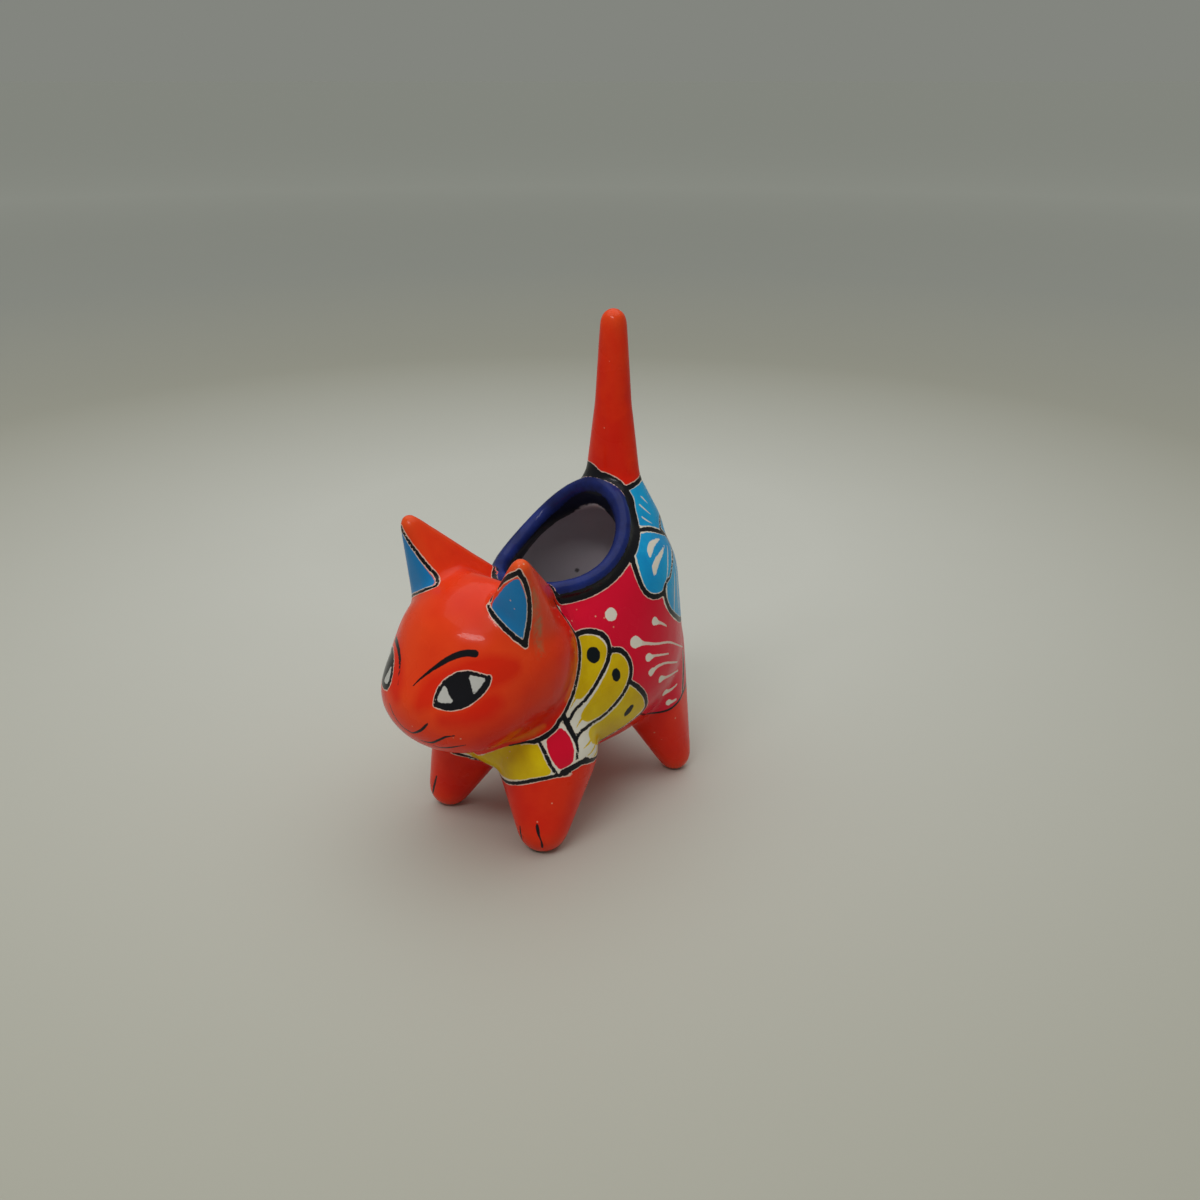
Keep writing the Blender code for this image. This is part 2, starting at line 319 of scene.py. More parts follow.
class Decoration:
    """Distances, in millimetres, of every point of the skin to the edge of each kind of paint."""

    def __init__(self, skin):
        self.mesh = skin.data
        self.co = places(self.mesh)
        self.no = directions(self.mesh)
        self.tree = BVHTree.FromObject(skin, bpy.context.evaluated_depsgraph_get())
        self.layers = {}

    def layer(self, name):
        return self.layers.setdefault(name, np.full(len(self.co), FAR))

    def plane(self, bearing, side):
        """Places of the skin on an upright picture plane, and how squarely each faces it."""
        turn = math.radians(bearing)
        x = self.co[:, 0] * side
        across = x * math.cos(turn) + self.co[:, 1] * math.sin(turn)
        facing = self.no[:, 0] * side * math.sin(turn) - self.no[:, 1] * math.cos(turn)
        return np.stack([across, self.co[:, 2]], 1), facing

    def fill(self, name, outline, bearing=SIDE_ON, sides=(1, -1), turned_away=-0.2):
        """Paints a closed area whose smooth outline goes through the points, on skin that faces the
        bearing by at least turned_away."""
        edge = curve(outline, closed=True)[:, :2]
        after = np.roll(edge, -1, 0)
        run = after - edge
        for side in sides:
            flat, facing = self.plane(bearing, side)
            near = self.outer & (facing > turned_away)
            near &= (flat > edge.min(0) - FAR).all(1) & (flat < edge.max(0) + FAR).all(1)
            if bearing != SIDE_ON:
                near &= self.first_seen(near, bearing, side)
            points = flat[near]
            gap = np.full(len(points), np.inf)
            inside = np.zeros(len(points), bool)
            for start, step, end in zip(edge, run, after):
                away = points - start
                share = np.clip(away @ step / max(step @ step, TINY), 0.0, 1.0)
                gap = np.minimum(gap, ((away - share[:, None] * step) ** 2).sum(1))
                crosses = (start[1] > points[:, 1]) != (end[1] > points[:, 1])
                lean = step[0] / (step[1] if step[1] else TINY)
                inside ^= crosses & (points[:, 0] < start[0] + (points[:, 1] - start[1]) * lean)
            signed = np.where(inside, -1.0, 1.0) * np.sqrt(gap)
            layer = self.layer(name)
            layer[near] = np.minimum(layer[near], signed)

    def first_seen(self, asked, bearing, side):
        """Which of the asked points nothing else of the cat hides from that bearing."""
        turn = math.radians(bearing)
        ahead = Vector((math.sin(turn) * side, -math.cos(turn), 0.0))
        seen = np.zeros(len(self.co), bool)
        for index in np.flatnonzero(asked):
            start = Vector(self.co[index] / TO_MM) + ahead * SIGHT_CLEARANCE
            seen[index] = self.tree.ray_cast(start, ahead)[0] is None
        return seen

    def trace(self, points, bearing, side):
        """Follows a brush line over the skin: places in millimetres and the half width at each."""
        turn = math.radians(bearing)
        ahead = Vector((math.sin(turn) * side, -math.cos(turn), 0.0))
        along = Vector((math.cos(turn) * side, math.sin(turn), 0.0))
        marks = []
        for across, up, half in curve(points):
            start = along * (across / TO_MM) + ahead * BRUSH_DISTANCE + Vector((0.0, 0.0, up / TO_MM))
            place = self.tree.ray_cast(start, -ahead)[0]
            if place is not None:
                marks.append((*(place * TO_MM), half))
        marks = np.array(marks).reshape(-1, 4)
        leaps = np.linalg.norm(np.diff(marks[:, :3], axis=0), axis=1) > LEAP
        runs = np.split(marks, np.flatnonzero(leaps) + 1)
        kept = [run for run in runs if len(run) >= SHORT_RUN or len(runs) == 1]
        return np.concatenate(kept) if kept else marks[:0]

    def close_to(self, marks):
        """Points of the outside that lie within reach of a line."""
        low = marks[:, :3].min(0) - FAR
        high = marks[:, :3].max(0) + FAR
        return np.flatnonzero((self.co > low).all(1) & (self.co < high).all(1) & self.outer)

    def stroke(self, name, points, bearing=SIDE_ON, sides=(1, -1)):
        """Draws a brush line: each point gives its two places on the plane and the half width there."""
        layer = self.layer(name)
        for side in sides:
            marks = self.trace(points, bearing, side)
            if not len(marks):
                continue
            near = self.close_to(marks)
            best = np.full(len(near), FAR)
            for mark in marks:
                best = np.minimum(best, np.linalg.norm(self.co[near] - mark[:3], axis=1) - mark[3])
            layer[near] = np.minimum(layer[near], best)

    def hairline(self, name, points, bearing=SIDE_ON, sides=(1, -1)):
        """Draws a line finer than the skin's grain, as each point's offset from it and its width there."""
        offsets = self.layer(name + "_offset")
        widths = self.layers.setdefault(name + "_width", np.full(len(self.co), -FAR))
        for side in sides:
            marks = self.trace(points, bearing, side)
            if len(marks) < 2:
                continue
            near = self.close_to(marks)
            gap, which = nearest(self.co[near], marks[:, :3])
            run = np.gradient(marks[:, :3], axis=0)
            run /= np.maximum(np.linalg.norm(run, axis=1), TINY)[:, None]
            away = self.co[near] - marks[which, :3]
            sideways = np.cross(self.no[near], run[which])
            past = np.abs((away * run[which]).sum(1))
            half = marks[which, 3]
            width = half - np.maximum(past - STROKE_STEP, 0.0)
            width -= np.maximum(gap - half - HAIRLINE_REACH, 0.0) * HAIRLINE_FADE
            wider = width > widths[near]
            offsets[near[wider]] = (away * sideways).sum(1)[wider]
            widths[near[wider]] = width[wider]

    def store(self):
        """Writes every layer to the skin's mesh, where the glaze reads it."""
        for name, values in self.layers.items():
            attribute = self.mesh.attributes.new(name, "FLOAT", "POINT")
            attribute.data.foreach_set("value", values.astype(np.float32))


def paint_ground(art):
    """The white slip left bare under the flank's and the chest's decoration."""
    art.fill("ground", [
        (-13.5, 82), (-7, 79), (5, 83), (18, 90), (27, 97), (33, 107), (44, 110), (54, 108),
        (66, 80), (66, 50), (62, 36), (50, 33.5), (43, 31.6), (33, 29.2), (26, 30), (17, 34.5),
        (9, 31.2), (0, 29), (-8, 29.5), (-14, 31.5), (-24, 31), (-22, 40), (-20, 47), (-16.5, 51),
        (-13.8, 54.5), (-11.3, 59), (-9.1, 64), (-8.1, 68), (-8.2, 71.4), (-11.2, 76),
    ])
    art.fill("ground", [
        (-25, 24.5), (-14.2, 35), (-6, 39.8), (-0.6, 41.2), (2.9, 43), (5.7, 45), (8, 48.5), (12, 49),
        (16, 40), (17, 33.5), (11.3, 31.2), (6, 30), (-1.4, 28.3), (-7.3, 25.8), (-12, 24), (-18, 22.5),
    ], THREE_QUARTER, turned_away=0.0)


def paint_flank(art):
    art.fill("crimson", [
        (-11.4, 80), (-0.4, 80.8), (5.7, 83), (12, 86), (17.6, 89), (18.6, 84.9),
        (19.5, 79.9), (22.5, 76), (28.4, 74.6), (30.3, 70), (37.4, 62.6), (45, 60.5), (52, 61.5),
        (58, 68), (64, 76), (66, 60), (64, 40), (58, 35.5), (50, 34), (43.2, 32.2), (35.9, 29.8),
        (30.2, 29), (24, 31.2), (17.5, 35.0), (18.9, 38.5), (16.1, 43.5), (12, 48.5), (8.5, 51.8),
        (9.6, 57), (8.5, 61), (5.9, 63.5), (2.7, 64), (2.7, 67.4), (0.8, 70.2), (-2.8, 71.4),
        (-7.4, 71.6), (-9.2, 75.5),
    ])
    # its two sides join across the rump
    art.fill("crimson", [
        (-16, 58), (0, 56), (16, 58), (12, 72), (10.5, 84), (7, 94), (-7, 94), (-10.5, 84), (-12, 72),
    ], TAIL_ON, sides=(1,))
    paint_yellow_petals(art)
    paint_feathered_ends(art)
    paint_blue_petals(art)
    # neck line, and the line that closes the panel above the rear leg
    art.stroke("liner", [
        (-9.6, 74.0, 0.5), (-8.1, 71, 0.6), (-8, 67.9, 0.75),
        (-9, 64.1, 0.75),
        (-11.2, 59, 0.7), (-13.7, 54.5, 0.65), (-16.3, 51, 0.6), (-19.7, 47.2, 0.65),
    ])
    art.hairline("fine", [
        (17.3, 34.9, 0.4), (23, 31.6, 0.42), (28.5, 29.5, 0.45), (33, 29.3, 0.5), (37.5, 30.2, 0.52),
        (43.2, 32.1, 0.52), (50, 34, 0.5), (56, 35.2, 0.5),
    ])
    art.hairline("fine", [(-14.5, 84, 0.6), (-12.4, 79.5, 0.6), (-10.3, 75.5, 0.6), (-8.1, 71, 0.6)])
    # dark edge of the rear leaf
    art.stroke("liner", [(46.5, 47, 0.5), (45.8, 40, 0.9), (43.6, 33, 0.7)])
    paint_white_marks(art)


def paint_yellow_petals(art):
    art.fill("yellow", [
        (-7.5, 70.1), (-3.6, 69.8), (-0.6, 68.5), (1.2, 65.6), (1.2, 62), (-1.6, 58.4), (-5.5, 55),
        (-10.2, 51.9), (-12.6, 51.4), (-14.3, 53), (-11.7, 57.6), (-9.5, 62.5), (-8.4, 66.4),
    ])
    art.fill("yellow", [
        (2.4, 62.1), (4.4, 62.5), (7.4, 60.4), (8.6, 57.3), (8.4, 54), (5.8, 49.8), (1.7, 46),
        (-3.4, 43.1), (-9.4, 42.7), (-12.6, 44.8), (-11.2, 47.4), (-5.6, 52.2), (-1, 56.8), (1.2, 59.5),
    ])
    art.fill("yellow", [
        (7, 49.6), (8.8, 49.8), (12.1, 47), (15.4, 42), (17.2, 38), (14.8, 35.2), (9.3, 32), (2, 29.8),
        (-3.2, 30.8), (-7, 33.5), (-10.6, 36.2), (-11.4, 38.8), (-9.6, 40.2), (-3.6, 40.6), (1.8, 43.4),
        (5.2, 46.4),
    ])
    art.stroke("liner", [
        (-7.8, 70.8, 0.85), (-3, 70.8, 0.9), (0.4, 69.4, 0.9), (2.2, 67.1, 0.85), (2.3, 63.9, 0.8),
        (0.9, 60.8, 0.8), (-2, 57.5, 0.75), (-6.1, 53.7, 0.7), (-10.8, 50.2, 0.65),
        (-14.5, 48.4, 0.6), (-17.5, 46.1, 0.6),
    ])
    art.stroke("liner", [
        (2.5, 63.2, 0.8), (5.8, 62.8, 0.9), (8.1, 60.3, 0.85), (9.1, 57, 0.8), (8.4, 53.1, 0.8),
        (5.3, 48.4, 0.75), (0.8, 44.5, 0.7), (-4.2, 41.9, 0.65), (-10.7, 41.4, 0.6),
        (-14.8, 41.2, 0.6), (-17.4, 39.6, 0.55),
    ])
    art.stroke("liner", [
        (8.1, 51.2, 0.7), (11.7, 48, 0.9), (15.7, 43.3, 0.8), (18.3, 38.2, 0.7), (17.6, 35.5, 0.6),
        (15.4, 34.4, 0.5),
    ])
    art.stroke("liner", [
        (15.4, 34.2, 0.4), (9, 31.4, 0.45), (0, 29.2, 0.5), (-8, 29.6, 0.6), (-14, 31.4, 0.8),
        (-17.8, 32.2, 0.9), (-24.1, 30.8, 0.8),
    ])
    art.fill("spot", ellipse(-3.8, 63.5, 2.5, 2.6))
    art.fill("spot", ellipse(2.7, 55.3, 1.65, 2.25))
    art.stroke("spot", [(8.0, 38.7, 0.9), (8.6, 39.6, 1.5), (9.6, 41.0, 1.2)])


def paint_feathered_ends(art):
    for end in (
        [(-6.5, 35.2, 0.5), (-10.5, 33.8, 0.4), (-14.2, 33.4, 0.15)],
        [(-8.5, 38.0, 0.5), (-11.8, 36.9, 0.4), (-15.4, 36.4, 0.15)],
        [(-3.5, 32.2, 0.5), (-7.4, 31.4, 0.4), (-11.6, 31.2, 0.15)],
        [(-9.5, 45.4, 0.5), (-12.8, 44.6, 0.4), (-15.6, 43.2, 0.15)],
        [(-11.8, 53.4, 0.5), (-14.0, 51.6, 0.35), (-16.0, 49.6, 0.15)],
    ):
        art.hairline("yellow", end)


def ellipse(across, up, half_width, half_height, count=12):
    turns = [math.tau * k / count for k in range(count)]
    return [(across + half_width * math.cos(t), up + half_height * math.sin(t)) for t in turns]


def paint_blue_petals(art):
    art.fill("blue", [
        (31.4, 106.4), (39.9, 108.2), (48, 107.5), (56, 103), (60, 92), (52, 90.5), (46, 90),
        (42, 92.2), (36, 95.2), (30.6, 96.7), (31.3, 99.5), (31.6, 102.7),
    ])
    art.fill("blue", [
        (27.9, 94.4), (33.7, 93.6), (42.7, 90), (45.5, 86.8), (41, 84), (36.5, 80.7), (34.0, 78.2),
        (29.8, 76.4), (24.9, 76.8), (21.5, 79.5), (20.7, 84.7), (21.9, 90.4), (25, 92.8),
    ])
    art.fill("blue", [
        (18, 92), (19, 87), (16, 84.2), (8.5, 81.5), (5, 79), (3.3, 76), (3, 72), (5, 67), (9, 63.3),
        (15, 60.3), (22, 60), (29, 63), (34, 69), (36.5, 77), (34.5, 86), (28, 92), (22, 94),
    ], REAR_QUARTER, turned_away=0.0)
    art.stroke("liner", [(29.3, 95.4, 0.7), (34.7, 94.4, 0.9), (42.5, 90.8, 0.7), (46.5, 88.5, 0.5)])
    art.stroke("liner", [
        (46.1, 85.6, 0.5), (43.6, 84, 0.55), (38.8, 81.5, 0.5), (36, 79.2, 0.5), (32.6, 78.2, 0.6),
        (30.6, 76.3, 0.8),
    ])
    art.stroke("liner", [
        (20.3, 91, 0.9), (19.2, 87, 0.95), (19.4, 81.9, 0.9), (21.1, 77.8, 0.9), (24.6, 75.6, 0.9),
        (29.1, 75.2, 0.85), (30.9, 76.4, 0.8),
    ])
    art.stroke("liner", [(30.6, 76.3, 0.8), (31.2, 71.9, 0.85), (34.2, 67.1, 0.9), (40.4, 62.2, 0.95)])
    art.stroke("liner", [
        (9.5, 62.1, 0.95), (15, 59.4, 0.9), (22, 59, 0.85), (29.8, 62, 0.8), (35.4, 68.5, 0.8),
        (37.8, 77, 0.8), (35.6, 87, 0.75), (28.5, 93.4, 0.7), (21.5, 95, 0.6), (17, 92.5, 0.6),
    ], REAR_QUARTER)
    art.stroke("liner", [(17, 92.5, 0.6), (19.5, 88.5, 0.6), (18.8, 85.4, 0.5)], REAR_QUARTER)
    # line round the foot of the tail
    art.stroke("liner", [(30.4, 108.2, 0.6), (32, 107.6, 0.9), (36, 108.5, 0.8), (40.5, 109.4, 0.8),
                         (46, 108.6, 0.7)])
    art.stroke("liner", [(-9.7, 109.8, 0.7), (-6, 109.0, 0.8), (0, 108.5, 0.9), (6, 109.0, 0.8),
                         (9.7, 109.8, 0.7)], TAIL_ON, sides=(1,))
    paint_tail_front(art)
    paint_back(art)


def paint_tail_front(art):
    """The black line climbs over the front of the tail's foot, highest on the cat's right."""
    art.fill("liner", [
        (14.8, 113.4), (16.2, 114.0), (17.6, 113.7), (18.9, 112.7), (20.3, 111.7), (21.6, 110.6),
        (23.7, 109.4), (25.7, 108.0), (23.5, 106.8), (20, 107.6), (16.5, 108.4), (14.2, 109.6),
        (14.0, 111.6),
    ], THREE_QUARTER, sides=(1,))
    art.fill("liner", [
        (21.5, 113.6), (25.0, 113.5), (27.8, 112.6), (30.0, 111.0), (31.8, 109.0), (30.4, 107.2),
        (26, 107.0), (22, 108.2), (20.5, 111.0),
    ], THREE_QUARTER, sides=(-1,))
    # thicker beside the lip
    art.stroke("liner", [(32.1, 107.1, 0.7), (32.5, 104.6, 0.8), (31.4, 101.4, 0.9), (30.4, 98.0, 0.9),
                         (28.2, 95.5, 0.9), (24.7, 93.1, 0.9), (21.7, 91.1, 0.9), (19.4, 89.8, 0.7)])


def paint_back(art):
    """Two petals under the tail, white dots, and a small yellow fan low on the rump."""
    art.fill("blue", [
        (-7, 93), (-6.4, 90.4), (-3.4, 88.9), (0, 90.2), (3.4, 88.9), (6.4, 90.4), (7, 93), (0, 96),
    ], TAIL_ON, sides=(1,))
    for side in (1, -1):
        art.stroke("liner", [(0, 90.0, 0.7), (3.4, 88.4, 0.8), (6.8, 89.9, 0.7)], TAIL_ON, sides=(side,))
        for top, middle, bottom in ((2.6, 3.4, 3.0), (6.0, 7.4, 7.0)):
            feather = [(top, 104.2, 0.15), (middle, 99, 0.36), (bottom, 94.4, 0.2)]
            art.hairline("white", feather, TAIL_ON, sides=(side,))
        art.fill("yellow", [
            (4.0, 36.6), (3.0, 41), (5.2, 47.6), (9.2, 50.8), (13.2, 49.6), (14.6, 46), (12.4, 41.8),
            (8, 38.2),
        ], TAIL_ON, sides=(side,))
        art.stroke("liner", [
            (2.4, 38.2, 0.6), (3.2, 43, 0.7), (5.6, 49.2, 0.8), (9.6, 52.4, 0.85), (14.2, 50.8, 0.8),
            (16, 46.4, 0.7), (13.6, 41.2, 0.7), (8.6, 37.4, 0.6),
        ], TAIL_ON, sides=(side,))
        art.fill("spot", ellipse(10.0, 46.8, 1.5, 1.7), TAIL_ON, sides=(side,))
        art.stroke("white", [(8.8, 59.2, 1.4)], TAIL_ON, sides=(side,))
    between = [(0, 108.3, 0.6), (0, 103, 0.65), (0, 96, 0.65), (0, 90, 0.7)]
    art.stroke("liner", between, TAIL_ON, sides=(1,))
    art.fill("yellow", [
        (0, 37.6), (-2.6, 43), (-4.4, 49.6), (-3.4, 54.4), (0, 56.4), (3.4, 54.4), (4.4, 49.6),
        (2.6, 43),
    ], TAIL_ON, sides=(1,))
    art.stroke("liner", [
        (-4.9, 48.6, 0.7), (-4.4, 54.4, 0.8), (0, 57.6, 0.9), (4.4, 54.4, 0.8), (4.9, 48.6, 0.7),
    ], TAIL_ON, sides=(1,))
    art.fill("spot", ellipse(0, 51.4, 1.7, 2.0), TAIL_ON, sides=(1,))
    art.stroke("white", [(0, 63.4, 1.8)], TAIL_ON, sides=(1,))
    art.hairline("fine", [
        (-14, 35.2, 0.5), (-7, 36.2, 0.5), (0, 36.6, 0.5), (7, 36.2, 0.5), (14, 35.2, 0.5),
    ], TAIL_ON, sides=(1,))


def tadpole(art, head, neck, *tail):
    """A white drop with a fine tail drawn out of it."""
    art.stroke("white", [head, neck])
    art.hairline("white", [neck, *tail])


def paint_white_marks(art):
    art.stroke("white", [(6, 74.3, 2.2)])
    tadpole(art, (23.2, 67.6, 1.5), (24.8, 66.6, 0.75), (26.6, 65.8, 0.45), (29.9, 63.6, 0.3))
    tadpole(art, (12.7, 63.6, 2.05), (14.8, 62.7, 1.1), (16.8, 61.9, 0.6), (22.5, 59.9, 0.42),
            (30.7, 57.4, 0.38), (37, 54, 0.3), (46, 48.8, 0.25))
    tadpole(art, (17.7, 56.8, 1.5), (19.5, 56.4, 0.75), (21.8, 56, 0.45), (30.1, 53.5, 0.3))
    tadpole(art, (18.4, 51.2, 1.4), (20.3, 51.6, 0.75), (23.2, 51.9, 0.5), (28.7, 50.7, 0.4),
            (38.3, 46.7, 0.3))
    tadpole(art, (24.4, 46.3, 1.35), (26.6, 45.8, 0.75), (29.2, 45.1, 0.5), (40, 42.4, 0.3))
    tadpole(art, (31, 37.6, 1.35), (32.9, 37.2, 0.75), (34.9, 37.1, 0.5), (38.9, 37.7, 0.3))
    tadpole(art, (34, 32.5, 1.2), (35.5, 32.3, 0.65), (37.9, 32.3, 0.4))
    for feather in (
        [(36.8, 104.2, 0.3), (37.7, 103.0, 0.26), (38.9, 101.5, 0.1)],
        [(34.7, 102.0, 0.3), (36.3, 100.2, 0.26), (38.2, 98.2, 0.1)],
        [(33.7, 98.3, 0.3), (35.2, 97.0, 0.26), (37.1, 95.6, 0.1)],
        [(40.6, 87.4, 0.2), (36.6, 84.0, 0.4), (33.2, 79.4, 0.25)],
    ):
        art.hairline("white", feather)
    art.stroke("white", [(37, 90.9, 0.4), (31.6, 91.0, 1.1), (28.6, 89.8, 1.3), (27.2, 88.2, 0.5)])
    art.stroke("white", [(38.4, 88.4, 0.3), (31, 86.4, 1.1), (27.8, 84.6, 1.35), (26.6, 82.4, 0.5)])
    paint_rear_feathers(art)


def paint_rear_feathers(art):
    """Long feathers in the rear blue petal, spread like a fan about its middle."""
    middle, spread = 17, 0.25
    feathers = ((8.5, 80, 66), (13, 82.5, 65), (17.5, 84, 64.5), (22, 84, 65), (26.5, 83, 68))
    for across, top, bottom in feathers:
        lean = (across - middle) * spread
        halfway = (top + bottom) / 2
        feather = [(across - lean, top, 0.15), (across, halfway, 0.45), (across + lean, bottom, 0.25)]
        art.hairline("white", feather, REAR_QUARTER)


def paint_chest(art):
    art.fill("yellow", [
        (-23.5, 25.2), (-14.2, 35), (-6.7, 39.4), (-1.7, 40.9), (0.3, 39.8), (2.1, 36.3), (4.2, 32.5),
        (3.5, 30.4), (-5, 28), (-8.8, 26.6), (-10.4, 26), (-14, 25), (-18.5, 24.6),
    ], THREE_QUARTER, turned_away=0.0)
    art.fill("crimson", [
        (6.8, 44.3), (9.2, 42.6), (11.0, 39.1), (11.4, 36.1), (10.9, 33.5), (7.5, 32.2), (5.9, 33.6),
        (4, 36.9), (3, 40.2), (3.7, 42.5),
    ], THREE_QUARTER, turned_away=0.0)
    for line in (
        [(-14, 23.4, 0.45), (-10, 24.8, 0.6),
         (-7.3, 26, 0.65), (-1.4, 28.5, 0.65), (5.7, 30, 0.6), (10.6, 29.5, 0.25)],
        [(0.8, 40.5, 0.5), (2.6, 37.3, 0.65), (4, 34.1, 0.65), (6, 30.9, 0.5)],
        [(8.2, 47.6, 0.8), (8.8, 46.4, 1.0), (10.2, 43.5, 1.0), (12, 39.8, 0.8), (12.7, 37.1, 0.6),
         (12.4, 34.2, 0.55)],
        [(7.8, 31, 0.8), (11.3, 32, 0.85), (15.5, 32.6, 0.8)],
        [(8.6, 48.4, 0.6), (7.1, 46.8, 0.7), (5.7, 44.8, 0.75), (2.9, 42.8, 0.8), (-0.6, 41.1, 0.8),
         (-3.1, 40.6, 0.4), (-5.4, 39.6, 0.15)],
    ):
        art.stroke("liner", line, THREE_QUARTER)


def paint_chest_hairlines(art):
    art.hairline("fine", [(-25.5, 24.5, 0.3), (-21.5, 23, 0.4), (-17, 23, 0.45), (-13, 23.8, 0.5),
                          (-10, 24.8, 0.6)], THREE_QUARTER)
    art.hairline("fine", [(-0.6, 41.1, 0.6), (-3.1, 40.7, 0.45), (-6, 39.8, 0.3), (-9, 38.6, 0.25)],
                 THREE_QUARTER)


def paint_eye(art, side, lid_over, lid_under, inner_white, outer_white):
    art.stroke("liner", lid_under, THREE_QUARTER, sides=(side,))
    art.stroke("liner", lid_over, THREE_QUARTER, sides=(side,))
    almond = [place[:2] for place in lid_under[:-1] + lid_over[:-1]]
    art.fill("pupil", almond, THREE_QUARTER, sides=(side,), turned_away=0.0)
    for white in (inner_white, outer_white):
        art.fill("eye_white", white, THREE_QUARTER, sides=(side,), turned_away=0.0)


def paint_face(art):
    paint_eye(
        art, 1,
        [(-13.2, 69.5, 0.5), (-16.4, 70.4, 0.55), (-19.1, 70.9, 0.6), (-22.1, 70.7, 0.6),
         (-24.2, 69.8, 0.5), (-26.4, 68.5, 0.45), (-27.9, 66.9, 0.45), (-29.1, 64.9, 0.45),
         (-29.7, 62.9, 0.5), (-29.8, 61.6, 0.55)],
        [(-29.7, 61.5, 0.7), (-26.6, 61.2, 0.85), (-23.5, 61.5, 0.95), (-20.5, 62.4, 1.0),
         (-17.9, 63.9, 0.9), (-15.5, 65.6, 0.75), (-14, 67.5, 0.7), (-13.2, 69.7, 0.55)],
        [(-26.6, 67.0), (-28.0, 65.4), (-29.0, 63.2), (-28.6, 62.4), (-24.3, 62.8), (-25.4, 64.6)],
        [(-19.3, 70.0), (-17, 70.0), (-14.5, 69.2), (-16.0, 67.0), (-17.9, 65.2), (-18.6, 67.4)],
    )
    # the other eye, set a little lower
    paint_eye(
        art, -1,
        [(-13.0, 66.8, 0.5), (-16.4, 68.3, 0.55), (-20.2, 68.9, 0.6), (-23.5, 68.2, 0.6),
         (-26.5, 66.4, 0.5), (-28.5, 64.3, 0.45), (-29.5, 62.2, 0.5), (-29.1, 60.4, 0.55)],
        [(-28.9, 60.3, 0.7), (-26.1, 59.7, 0.85), (-22.6, 59.8, 0.95), (-19.2, 60.8, 1.0),
         (-16.2, 62.6, 0.85), (-14.2, 64.6, 0.7), (-13.0, 66.8, 0.55)],
        [(-25.3, 66.0), (-27.0, 64.4), (-28.4, 61.9), (-26.9, 60.9), (-24.6, 61.2), (-24.9, 63.8)],
        [(-18.6, 67.9), (-16.6, 67.6), (-14.3, 66.7), (-15.6, 64.9), (-17.3, 63.2), (-18.0, 65.4)],
    )
    art.stroke("brow", [
        (-36.9, 65, 0.12), (-34.7, 67.3, 0.3), (-31.5, 70.1, 0.5), (-28.3, 72.5, 0.8),
        (-25.2, 74.5, 0.95), (-22.2, 75.8, 1.05), (-19.7, 76.3, 1.1), (-17.6, 76.2, 1.15),
    ], THREE_QUARTER, sides=(1,))
    art.stroke("brow", [
        (-33.6, 63.2, 0.2), (-31.1, 66.6, 0.4), (-29.8, 68.2, 0.55), (-27.6, 69.9, 0.7),
        (-24.6, 71.3, 0.8), (-21.1, 71.9, 0.85), (-17.5, 71.8, 0.9),
    ], THREE_QUARTER, sides=(-1,))
    art.hairline("fine", [(-36.9, 65, 0.2), (-34.7, 67.3, 0.35), (-31.5, 70.1, 0.5)], THREE_QUARTER,
                 sides=(1,))
    paint_mouth(art)


def paint_mouth(art):
    art.hairline("fine", [
        (-45.2, 56.4, 0.2), (-44.3, 54.3, 0.25), (-42.9, 52.3, 0.25), (-40.7, 50.4, 0.28),
        (-38.8, 49.9, 0.28), (-37.7, 49.7, 0.3), (-35.5, 51.4, 0.42), (-33.9, 53.1, 0.48),
        (-32.5, 55.0, 0.4),
    ], THREE_QUARTER, sides=(1,))
    art.hairline("fine", [(-35.5, 47.3, 0.2), (-33.5, 47.2, 0.35), (-31.5, 47.8, 0.48),
                          (-28.6, 50.1, 0.42), (-26.7, 51.5, 0.4), (-24.2, 52.2, 0.2)], THREE_QUARTER)
    art.hairline("fine", [(-31.1, 46, 0.15), (-29.3, 45.6, 0.32), (-26.6, 46.3, 0.42),
                          (-24, 47.3, 0.38), (-21.1, 48.2, 0.18)], THREE_QUARTER)


